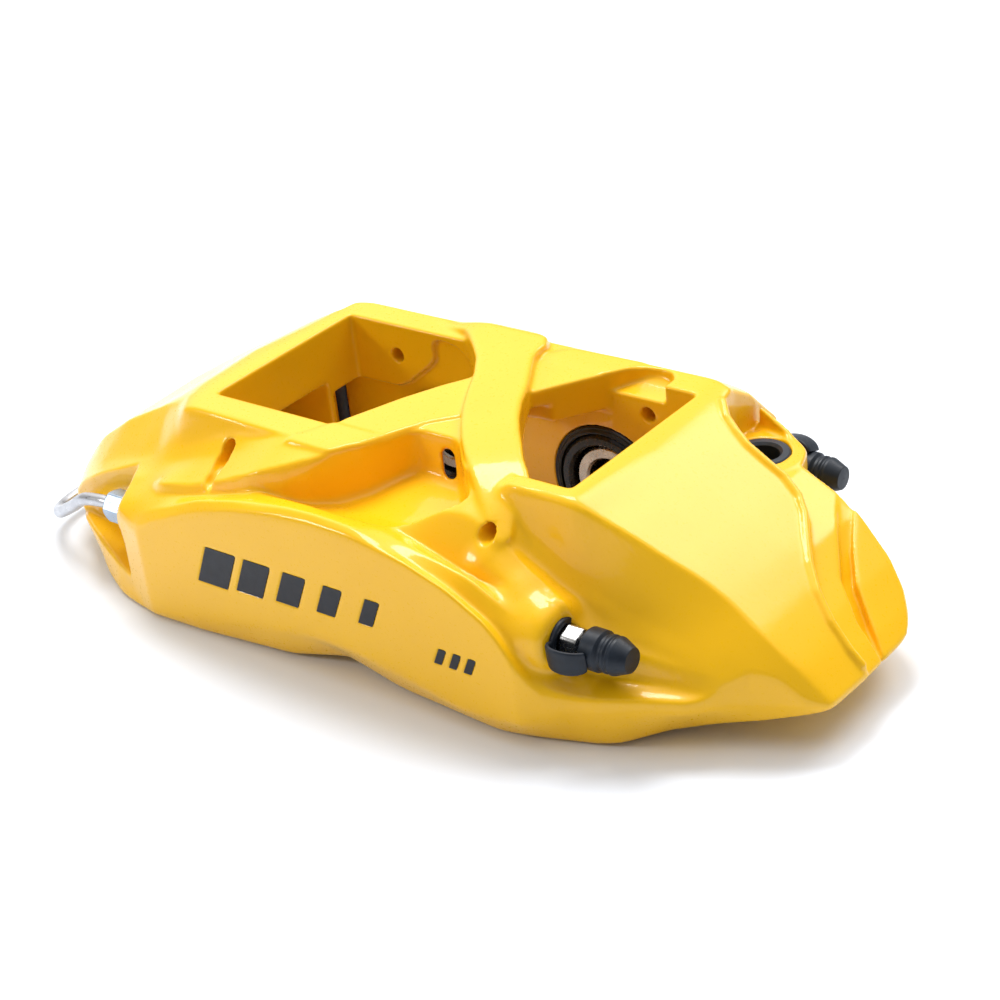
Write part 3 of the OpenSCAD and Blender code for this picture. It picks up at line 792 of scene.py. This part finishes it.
def set_values(node, **sockets):
    """Steady values on a node's own sockets."""
    for socket, value in sockets.items():
        node.inputs[socket.replace("_", " ")].default_value = value


def material(name, colour, **sockets):
    """A principled material with its steady values on the shader's own sockets."""
    mat = bpy.data.materials.new(name)
    mat.use_nodes = True
    shader = mat.node_tree.nodes["Principled BSDF"]
    set_values(shader, Base_Color=(*colour, 1), **sockets)
    return mat, mat.node_tree.nodes, mat.node_tree.links, shader


def noise(nodes, links, scale, detail, roughness=0.5):
    """A noise texture in object space, in cycles per metre."""
    place = nodes.new("ShaderNodeTexCoord")
    texture = nodes.new("ShaderNodeTexNoise")
    set_values(texture, Scale=scale, Detail=detail, Roughness=roughness)
    links.new(place.outputs["Object"], texture.inputs["Vector"])
    return texture.outputs["Fac"]


def ranged(nodes, links, source, low, high):
    """A noise's middle range spread from low to high."""
    node = nodes.new("ShaderNodeMapRange")
    set_values(node, From_Min=0.3, From_Max=0.7, To_Min=low, To_Max=high)
    links.new(source, node.inputs["Value"])
    return node.outputs["Result"]


def mixed(nodes, links, source, first, second):
    """A colour between first and second by source."""
    node = nodes.new("ShaderNodeMix")
    node.data_type = "RGBA"
    set_values(node, A=(*first, 1), B=(*second, 1))
    links.new(source, node.inputs["Factor"])
    return node.outputs["Result"]


def varied(nodes, links, shader, scale, first, second):
    """Base colour that drifts between two colours."""
    drift = ranged(nodes, links, noise(nodes, links, scale, 3), 0, 1)
    links.new(mixed(nodes, links, drift, first, second), shader.inputs["Base Color"])


def bumped(nodes, links, shader, source, distance, strength, coat=False):
    """Bump of that height in metres from source."""
    node = nodes.new("ShaderNodeBump")
    set_values(node, Distance=distance, Strength=strength)
    links.new(source, node.inputs["Height"])
    links.new(node.outputs["Normal"], shader.inputs["Normal"])
    if coat:
        links.new(node.outputs["Normal"], shader.inputs["Coat Normal"])


def yellow_enamel():
    """Baked gloss enamel: a warm golden yellow under a clear coat, with faint orange peel."""
    mat, nodes, links, shader = material(
        "enamel_yellow", (0.95, 0.52, 0.006), Coat_Weight=0.5, Coat_Roughness=0.06, Coat_IOR=1.45,
        IOR=1.45, Specular_IOR_Level=0.22)
    varied(nodes, links, shader, 22, (0.96, 0.53, 0.008), (0.935, 0.505, 0.005))
    fine = noise(nodes, links, 900, 2)
    links.new(ranged(nodes, links, fine, 0.26, 0.36), shader.inputs["Roughness"])
    peel = noise(nodes, links, 420, 2, 0.4)
    bumped(nodes, links, shader, peel, 0.0001, 0.5, coat=True)
    return mat


def plain_surface(name, colour, other, rough, scale, metallic=0.0, bump=0.00003, **sockets):
    """A surface whose colour and roughness vary a little, with a fine grain."""
    mat, nodes, links, shader = material(name, colour, Metallic=metallic, **sockets)
    varied(nodes, links, shader, scale * 0.25, colour, other)
    fine = noise(nodes, links, scale, 4, 0.6)
    links.new(ranged(nodes, links, fine, *rough), shader.inputs["Roughness"])
    bumped(nodes, links, shader, fine, bump, 0.6)
    return mat


def turned_steel():
    """Bare turned steel, warm and a little uneven, with a fine grain."""
    colour, other = (0.5, 0.43, 0.35), (0.42, 0.36, 0.3)
    mat, nodes, links, shader = material("steel_turned", colour, Metallic=1.0)
    varied(nodes, links, shader, 160, colour, other)
    fine = noise(nodes, links, 1080, 3, 0.6)
    links.new(ranged(nodes, links, fine, 0.18, 0.32), shader.inputs["Roughness"])
    bumped(nodes, links, shader, fine, 0.00002, 0.5)
    return mat


ENAMEL = yellow_enamel()
ANODISED = plain_surface("anodised_black", (0.012, 0.012, 0.014), (0.02, 0.019, 0.02), (0.18, 0.3), 1400,
                         metallic=0.35, bump=0.00001)
TURNED = turned_steel()
RUBBER = plain_surface("rubber_black", (0.007, 0.011, 0.018), (0.012, 0.018, 0.028), (0.36, 0.5), 1200,
                       bump=0.00004, Specular_IOR_Level=0.3)
BOOT_RUBBER = plain_surface("rubber_boot", (0.012, 0.013, 0.015), (0.018, 0.019, 0.022), (0.32, 0.45), 1500,
                            bump=0.00002)
PIPE_STEEL = plain_surface("steel_pipe", (0.55, 0.55, 0.56), (0.47, 0.47, 0.49), (0.25, 0.42), 700,
                           metallic=0.85, bump=0.00002)
ZINC = plain_surface("zinc_nut", (0.42, 0.5, 0.6), (0.34, 0.41, 0.5), (0.25, 0.4), 900, metallic=0.9,
                     bump=0.00003)
BLEED_STEEL = plain_surface("steel_bleed", (0.56, 0.55, 0.53), (0.47, 0.46, 0.45), (0.18, 0.32), 900,
                            metallic=1.0, bump=0.00002)
BUSH_COAT = plain_surface("coat_bush", (0.02, 0.026, 0.036), (0.03, 0.037, 0.05), (0.35, 0.5), 1200,
                          metallic=0.3, bump=0.00003)
STRIPE_PAINT = plain_surface("enamel_grey", (0.011, 0.012, 0.016), (0.018, 0.019, 0.025), (0.35, 0.5), 900,
                             bump=0.00003, Specular_IOR_Level=0.3)


def finish_piece(obj, body, slot, mat, *nodes):
    """Gives a piece its material and its body, and hides the CAD nodes it stands for; slot is not used."""
    obj.data.materials.clear()
    obj.data.materials.append(mat)
    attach(obj, body)
    if nodes:
        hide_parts(*nodes)


# ---- The housing ----

HOUSING_FACES = 190000
housing = mesh_from_field("housing_shell", housing_field(), HOUSING_FACES)
finish_piece(housing, "housing", "yellow_enamel", ENAMEL, "caliper_body")

# ---- Pistons, inserts, boots ----

# How far a piston at rest stands out of the pad opening's wall.
PROUD = 1


def piston_profile(r):
    """A cup piston of radius r, open towards the pad, with a relieved rim."""
    cup = r - 4.8
    return rounded([
        (0.02, 20), (cup, 20), (cup, 1.4), (cup + 1, 0), (r - 1.4, 0), (r, 1.4), (r, 26.3), (r - 1.2, 27.5),
        (0.02, 27.5)], 0.5)


def insert_profile(r):
    """A turned heat shield of outside radius r on the piston's floor."""
    return rounded([
        (r - 5, 20), (r - 5, 3), (r - 4.2, 2.2), (r - 0.8, 2.2), (r, 3), (r, 5), (r - 2.8, 5),
        (r - 2.8, 20), (r - 5, 20)], 0.4)


def boot_profile(inner, outer):
    """A wiper boot with a rolled lip, from the piston out to its seat."""
    return rounded([
        (inner, 0.8), (inner, -0.5), (inner + 0.8, -0.95), (outer - 1.1, -0.1), (outer - 0.5, -0.5),
        (outer - 0.05, 0.2), (outer - 0.05, 4.45), (inner + 1, 4.45), (inner + 1, 1.2), (inner, 0.8)], 0.25)


for side_sign, side_name in SIDES.items():
    for end_sign, end_name in ENDS.items():
        tag = side_name + "_" + end_name
        place = piston_place(side_sign, end_sign, PROUD)
        r = PISTON_R[end_sign]
        piston = lathe("piston_cup_" + tag, piston_profile(r), place, 128, closed=False)
        finish_piece(piston, "piston_" + tag + "_body", "black_anodised", ANODISED, "piston_" + tag)
        insert = lathe("heat_shield_" + tag, insert_profile(r - 5.8), place, 96)
        finish_piece(insert, "piston_" + tag + "_body", "turned_steel", TURNED, "heat_insert_" + tag)
        place = piston_place(side_sign, end_sign)
        boot = lathe("wiper_boot_" + tag, boot_profile(r + RUN_GAP + 0.02, r + RING_W), place, 128)
        finish_piece(boot, "housing", "boot_rubber", BOOT_RUBBER, "dust_boot_" + tag)

# ---- Pipe and nuts ----

PIPE_R = 2.375
PIPE_HALF = [
    (-99.5, -61, -42.5), (-108, -61, -42.5), (-116.5, -61, -42.5), (-122, -61, -42.7), (-132, -60.3, -45),
    (-143, -57.5, -52), (-152, -55, -57.5), (-160, -51.5, -62), (-167, -45, -65), (-170.5, -35, -66),
    (-171, -22, -66), (-171, -8, -66)]
PIPE_ROUTE = PIPE_HALF + [(x, -y, z) for x, y, z in PIPE_HALF[::-1]]


def smooth_route(points, count):
    """Points evenly counted on the smooth curve through a route."""
    route = np.array(points, float)
    result = []
    for t in np.linspace(0, len(route) - 1, count):
        i = min(int(t), len(route) - 2)
        u = t - i
        p0, p1, p2, p3 = (route[min(max(j, 0), len(route) - 1)] for j in (i - 1, i, i + 1, i + 2))
        result.append(0.5 * (2 * p1 + (p2 - p0) * u + (2 * p0 - 5 * p1 + 4 * p2 - p3) * u * u
                             + (3 * p1 - p0 - 3 * p2 + p3) * u ** 3))
    return np.array(result)


def tube(name, centres, radius, sides=28):
    """A round tube along points, closed at both ends."""
    ahead = np.gradient(centres, axis=0)
    ahead /= np.linalg.norm(ahead, axis=1)[:, None]
    across = np.cross([0, 0, 1], ahead)
    across /= np.linalg.norm(across, axis=1)[:, None]
    above = np.cross(ahead, across)
    angles = np.linspace(0, 2 * math.pi, sides, endpoint=False)
    rings = [c + radius * (np.cos(angles)[:, None] * a + np.sin(angles)[:, None] * b)
             for c, a, b in zip(centres, across, above)]
    return new_object(name, np.array(rings).reshape(-1, 3), skin(len(centres), sides))


pipe = tube("fluid_pipe", smooth_route(PIPE_ROUTE, 220), PIPE_R)
finish_piece(pipe, "housing", "pipe_steel", PIPE_STEEL, "crossover_pipe")

NUT_FLAT = 11
NUT_PROFILE = rounded([
    (PIPE_R + 0.05, -10), (4.95, -10), (4.95, 0.4), (6.35, 0.4), (6.35, 0.42), (6.35, 9.4), (5.3, 10.4),
    (3.1, 10.4), (PIPE_R + 0.05, 9.8), (PIPE_R + 0.05, -10)], [0, 0, 0, 0, 0, 0.3, 0.3, 0.3, 0, 0])
# The nut's outer end is cut into short steps, so that its chamfer bows over the hexagon's corners.
NUT_STEPS = []
for (r0, z0), (r1, z1) in zip(NUT_PROFILE, NUT_PROFILE[1:]):
    pieces = max(1, int(math.hypot(r1 - r0, z1 - z0) / 0.35)) if z0 > 8 or z1 > 8 else 1
    NUT_STEPS += [(r0 + (r1 - r0) * s / pieces, z0 + (z1 - z0) * s / pieces) for s in range(pieces)]
for side_sign, side_name in SIDES.items():
    nut = lathe("union_nut_" + side_name, NUT_STEPS, port_place(side_sign), 144,
                radius_at=hexagon(NUT_FLAT, 0.35, 0.1))
    finish_piece(nut, "housing", "zinc_nut", ZINC, "pipe_nut_" + side_name)

# ---- Bleed screws, caps and tethers ----

SCREW_PROFILE = [
    (0.02, -12), (1.6, -12), (4.9, -9), (4.9, 0.8), (4.4, 1.4), (4.4, 2.5), (5.75, 2.5), (5.75, 3.1),
    (5.75, 8.2), (5.2, 9), (3.2, 9), (3, 10), (3, 15), (3.8, 16), (2.4, 20.4), (1, 20.5), (1, 17),
    (0.02, 17)]
CAP_PROFILE = rounded([
    (4.25, 16.4), (4.25, 10.6), (6.2, 10.6), (6.8, 11.3), (6.8, 16.2), (5.75, 17.1), (5.75, 18.1),
    (6.3, 18.7), (6.3, 19.5), (5.8, 20), (5.8, 20.5), (6.35, 21.2), (6.2, 22), (4.1, 26.8), (0.02, 27),
    (0.02, 21.3), (2.8, 21.3), (4.25, 16.4)], 0.3, 4)
RING_PROFILE = rounded([
    (5.15, 0.5), (5.5, 0.2), (6.9, 0.2), (7.3, 0.6), (7.3, 1.8), (6.9, 2.2), (5.5, 2.2), (5.15, 1.9),
    (5.15, 0.5)], 0.3)
STRAP_PATH = [(1.2, 6.2), (1.0, 7.4), (1.5, 8.8), (3.2, 9.9), (6, 10.3), (9, 10), (11.4, 9.1), (13, 7.9),
              (13.8, 6.7)]
STRAP_HALF_THICK = 0.75
STRAP_LEAN = {OUTBOARD: (0, -0.995, -0.1), INBOARD: (0, 0.35, 0.937)}
BLEED_FLAT = 10
bleed_hexagon = hexagon(BLEED_FLAT, 0.2)


def screw_radius(angle, r, z):
    """radius_at for a bleed screw: hexagonal between its neck and its nipple."""
    return bleed_hexagon(angle, r, z) if 2.4 < z < 9.05 else r


def cap_strap(name, side_sign):
    """The rubber strap that loops from its ring to the cap, beside the bleed screw."""
    centre = np.array([BOSS_X, BLEED_Y[side_sign], BLEED_Z])
    along, out = np.array([1.0, 0, 0]), np.array(STRAP_LEAN[side_sign])
    wide = np.cross(along, out)
    route = smooth_route([(a, r, 0) for a, r in STRAP_PATH], 60)[:, :2]
    path = centre + route[:, :1] * along + route[:, 1:] * out
    ahead = np.gradient(path, axis=0)
    ahead /= np.linalg.norm(ahead, axis=1)[:, None]
    share = np.linspace(0, 1, len(path))
    half = 3.4 + 1.1 * np.sin(math.pi * share) ** 0.7
    angles = np.linspace(0, 2 * math.pi, 24, endpoint=False)
    section = [(math.copysign(abs(math.cos(a)) ** 0.35, math.cos(a)),
                math.copysign(abs(math.sin(a)) ** 0.6, math.sin(a))) for a in angles]
    points = [p + half[i] * u * wide + STRAP_HALF_THICK * v * np.cross(ahead[i], wide)
              for i, p in enumerate(path) for u, v in section]
    return new_object(name, points, skin(len(path), len(section)))


def finish_strap(strap, side_name):
    """Gives the strap its rubber, bakes its place into its points and hides the CAD tether it stands for.
    """
    strap.data.materials.append(RUBBER)
    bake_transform(strap)
    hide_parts("cap_tether_" + side_name)


for side_sign, side_name in SIDES.items():
    place = bleed_place(side_sign)
    screw = lathe("bleeder_" + side_name, SCREW_PROFILE, place, 120, closed=False, radius_at=screw_radius)
    finish_piece(screw, "bleed_screw_" + side_name + "_body", "bleed_steel", BLEED_STEEL,
                 "bleed_screw_" + side_name)
    cap = lathe("dust_cap_" + side_name, CAP_PROFILE, place, 96)
    finish_piece(cap, "bleed_cap_" + side_name + "_body", "cap_rubber", RUBBER, "bleed_cap_" + side_name)
    ring = lathe("strap_ring_" + side_name, RING_PROFILE, place, 96)
    finish_piece(ring, "housing", "cap_rubber", RUBBER)
    strap = cap_strap("cap_strap_" + side_name, side_sign)
    finish_strap(strap, side_name)

# ---- Bushes ----

BUSH_PROFILE = rounded([
    (BUSH_BORE_R, 0.8), (BUSH_BORE_R + 0.8, 0), (BUSH_R - 0.6, 0), (BUSH_R, 0.6), (BUSH_R, 34.2),
    (BUSH_R - 0.6, 34.8), (BUSH_BORE_R + 1, 34.8), (BUSH_BORE_R, 33.8), (BUSH_BORE_R, 0.8)], 0.2)
for end_sign, end_name in ENDS.items():
    place = axis_frame((end_sign * BOLT_X, BOLT_Y, LUG_BOTTOM), (0, 0, 1), (1, 0, 0))
    bush = lathe("lug_bush_" + end_name, BUSH_PROFILE, place, 96)
    finish_piece(bush, "housing", "black_bush", BUSH_COAT, "mount_bush_" + end_name)

# ---- CAD nodes that stay ----


def paint_node(node, mat):
    """Gives a CAD node that stays a better material."""
    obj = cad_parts[node]
    for slot in obj.material_slots:
        slot.material = mat
    if not obj.material_slots:
        obj.data.materials.append(mat)


for side_name in SIDES.values():
    for end_name in ENDS.values():
        paint_node("piston_seal_" + side_name + "_" + end_name, RUBBER)
paint_node("face_stripes", STRIPE_PAINT)

# ---- Camera, floor and light ----

CAMERA_PLACE = (447.8, -503.4, 324.3)
CAMERA_RIGHT = (0.7907, 0.6036, -0.1025)
CAMERA_UP = (-0.2212, 0.4377, 0.8715)
CAMERA_FORWARD = (-0.5708, 0.6664, -0.4796)
LENS = 78.49

camera_data = bpy.data.cameras.new("camera")
camera_data.lens = LENS
camera_data.sensor_width = 36
camera = bpy.data.objects.new("camera", camera_data)
turn = Matrix((CAMERA_RIGHT, CAMERA_UP, [-c for c in CAMERA_FORWARD])).transposed()
camera.matrix_world = Matrix.Translation(to_row(CAMERA_PLACE)) @ turn.to_4x4()
bpy.context.scene.collection.objects.link(camera)
bpy.context.scene.camera = camera

FLOOR_HALF = 6000
floor_z = body_low[2] - CROWN[2]
floor = new_object("floor", [
    (-FLOOR_HALF, -FLOOR_HALF, floor_z), (FLOOR_HALF, -FLOOR_HALF, floor_z),
    (FLOOR_HALF, FLOOR_HALF, floor_z), (-FLOOR_HALF, FLOOR_HALF, floor_z)], [(0, 1, 2, 3)])
floor_mat, floor_nodes, floor_links, floor_shader = material(
    "floor_pale", (0.83, 0.875, 0.95), Roughness=0.75, Specular_IOR_Level=0.15)
floor_fac = noise(floor_nodes, floor_links, 6, 3)
floor_links.new(ranged(floor_nodes, floor_links, floor_fac, 0.72, 0.8), floor_shader.inputs["Roughness"])
floor.data.materials.append(floor_mat)

SKY_BASE = 0.27
SKY_PATCHES = [
    ((-0.1, 0.3, 0.95), 62, 1.2),
    ((0.1, 0.67, 0.72), 20, 5.5),
    ((-0.75, 0.35, 0.45), 34, 0.9)]


def soft_patch(nodes, links, toward, spread, power):
    """Light from the sky round one direction, which fades out spread degrees away from it."""
    place = nodes.new("ShaderNodeTexCoord")
    dot = nodes.new("ShaderNodeVectorMath")
    dot.operation = "DOT_PRODUCT"
    dot.inputs[1].default_value = Vector(toward).normalized()
    links.new(place.outputs["Generated"], dot.inputs[0])
    fade = nodes.new("ShaderNodeMapRange")
    fade.interpolation_type = "SMOOTHSTEP"
    set_values(fade, From_Min=math.cos(math.radians(spread)), To_Max=power)
    links.new(dot.outputs["Value"], fade.inputs["Value"])
    return fade.outputs["Result"]


world = bpy.data.worlds.new("studio")
world.use_nodes = True
sky_nodes, sky_links = world.node_tree.nodes, world.node_tree.links
total = None
for toward, spread, power in SKY_PATCHES:
    patch = soft_patch(sky_nodes, sky_links, toward, spread, power)
    add = sky_nodes.new("ShaderNodeMath")
    if total:
        sky_links.new(total, add.inputs[0])
    else:
        add.inputs[0].default_value = SKY_BASE
    sky_links.new(patch, add.inputs[1])
    total = add.outputs["Value"]
set_values(sky_nodes["Background"], Color=(1, 1, 1, 1))
sky_links.new(total, sky_nodes["Background"].inputs["Strength"])
bpy.context.scene.world = world
bpy.context.scene.view_settings.view_transform = "Standard"


def softbox(name, place, aim, size, power):
    """A rectangular soft light that looks at aim."""
    data = bpy.data.lights.new(name, "AREA")
    data.shape = "RECTANGLE"
    data.size, data.size_y = size
    data.energy = power
    lamp = bpy.data.objects.new(name, data)
    lamp.location = place
    lamp.rotation_mode = "QUATERNION"
    lamp.rotation_quaternion = (Vector(place) - Vector(aim)).to_track_quat("Z", "Y")
    bpy.context.scene.collection.objects.link(lamp)


softbox("overhead", (-0.35, 0.3, 1.3), (0, 0, 0), (0.6, 0.45), 12)
softbox("left", (-0.9, -0.95, 0.65), (0, 0, 0), (0.3, 0.25), 4.2)
